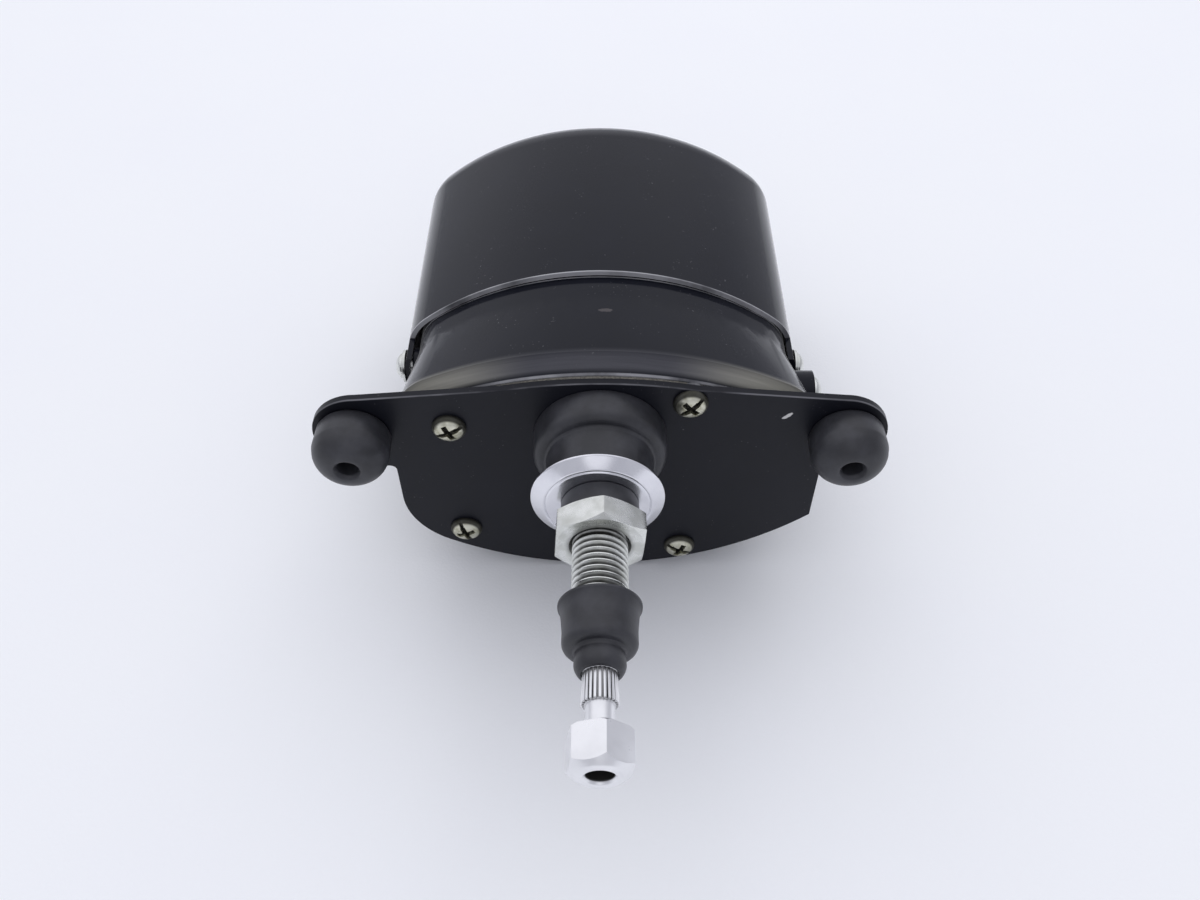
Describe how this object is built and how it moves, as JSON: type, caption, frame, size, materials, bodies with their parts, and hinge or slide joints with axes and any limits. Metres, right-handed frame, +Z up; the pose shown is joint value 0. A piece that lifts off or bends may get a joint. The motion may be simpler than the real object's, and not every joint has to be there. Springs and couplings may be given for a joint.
{
  "type": "wiper motor",
  "caption": "Oscillating windscreen wiper motor with an eared mounting plate, an oval drawn cover and a knurled spindle in a threaded sleeve.",
  "frame": {"origin": "on the spindle axis, at the front face of the mounting plate", "axes": "-Y along the spindle, towards its arm nut; +Z up as the motor lies on its belly; +X to the right seen from the spindle end"},
  "size_m": [0.1336, 0.1897, 0.074],
  "materials": {
    "black_enamel": "gloss",
    "can_enamel": "satin",
    "zinc_yellow": "zinc plated, faint yellow",
    "zinc": "zinc plated",
    "bright_steel": "bright",
    "dark_steel": "oiled",
    "chrome_plate": "polished",
    "rubber_black": "matt",
    "gasket_paper": "matt",
    "bronze": "sintered",
    "brass_strip": "plain",
    "copper": "plain",
    "nylon": "satin",
    "ferrite": "matt",
    "core_steel": "laminated",
    "card": "matt",
    "carbon": "matt"
  },
  "bodies": {
    "housing": {"mounting_plate": "black_enamel", "gear_case": "can_enamel", "case_gasket": "gasket_paper", "motor_can": "can_enamel", "plate_screws": "zinc_yellow", "can_screws": "zinc", "can_screw_washers": "zinc", "earth_screw": "zinc", "buffer_left": "rubber_black", "buffer_right": "rubber_black", "stepped_bush": "rubber_black", "seal_ring": "rubber_black", "dished_washer": "chrome_plate", "sleeve_nut": "zinc", "threaded_sleeve": "zinc_yellow", "sleeve_bushes": "bronze", "spindle_boot": "rubber_black", "rack_guides": "brass_strip", "crank_axle": "dark_steel", "idler_axle": "dark_steel", "axle_clips": "dark_steel", "front_bearing": "bronze", "rear_bearing": "bronze", "yoke_ring": "dark_steel", "end_plate": "dark_steel", "tie_bolts": "zinc", "magnets": "ferrite", "magnet_clips": "dark_steel", "brush_plate": "card", "brush_holders": "brass_strip", "brushes": "carbon", "brush_springs": "dark_steel", "lead_grommet": "rubber_black"},
    "output": {"spindle": "bright_steel", "spindle_pinion": "dark_steel", "spindle_washers": "dark_steel", "spindle_clip": "dark_steel", "arm_nut": "bright_steel"},
    "rack": {"rack_slide": "dark_steel"},
    "crank": {"crank_wheel": "nylon", "crank_pin": "dark_steel"},
    "idler": {"idler_wheel": "nylon", "idler_pinion": "dark_steel"},
    "armature": {"armature_shaft": "bright_steel", "armature_core": "core_steel", "windings": "copper", "commutator": "copper", "armature_washers": "card"}
  },
  "joints": [
    {"name": "armature_spin", "type": "hinge", "parent": "housing", "child": "armature", "pos_m": [0, -0.02, -0.015], "axis": [0, -1, 0], "range_deg": [-3000, 3000]},
    {"name": "idler_spin", "type": "hinge", "parent": "housing", "child": "idler", "pos_m": [0.01789, 0.012, -0.00458], "axis": [0, -1, 0], "range_deg": [-451, 451]},
    {"name": "crank_turn", "type": "hinge", "parent": "housing", "child": "crank", "pos_m": [0, 0.012, -0.024], "axis": [0, -1, 0], "range_deg": [-90.01, 90.01]},
    {"name": "rack_travel", "type": "slide", "parent": "housing", "child": "rack", "axis": [1, 0, 0], "range_m": [-0.00587, 0.00587]},
    {"name": "spindle_sweep", "type": "hinge", "parent": "housing", "child": "output", "pos_m": [0, 0, 0], "axis": [0, -1, 0], "range_deg": [-52.51, 52.51]}
  ],
  "couplings": [
    {"joint": "idler_spin", "follows": "armature_spin", "ratio": -0.15},
    {"joint": "crank_turn", "follows": "armature_spin", "ratio": 0.03},
    {"joint": "rack_travel", "follows": "armature_spin", "m_per_rad": -0.000112},
    {"joint": "spindle_sweep", "follows": "armature_spin", "ratio": -0.0175}
  ]
}
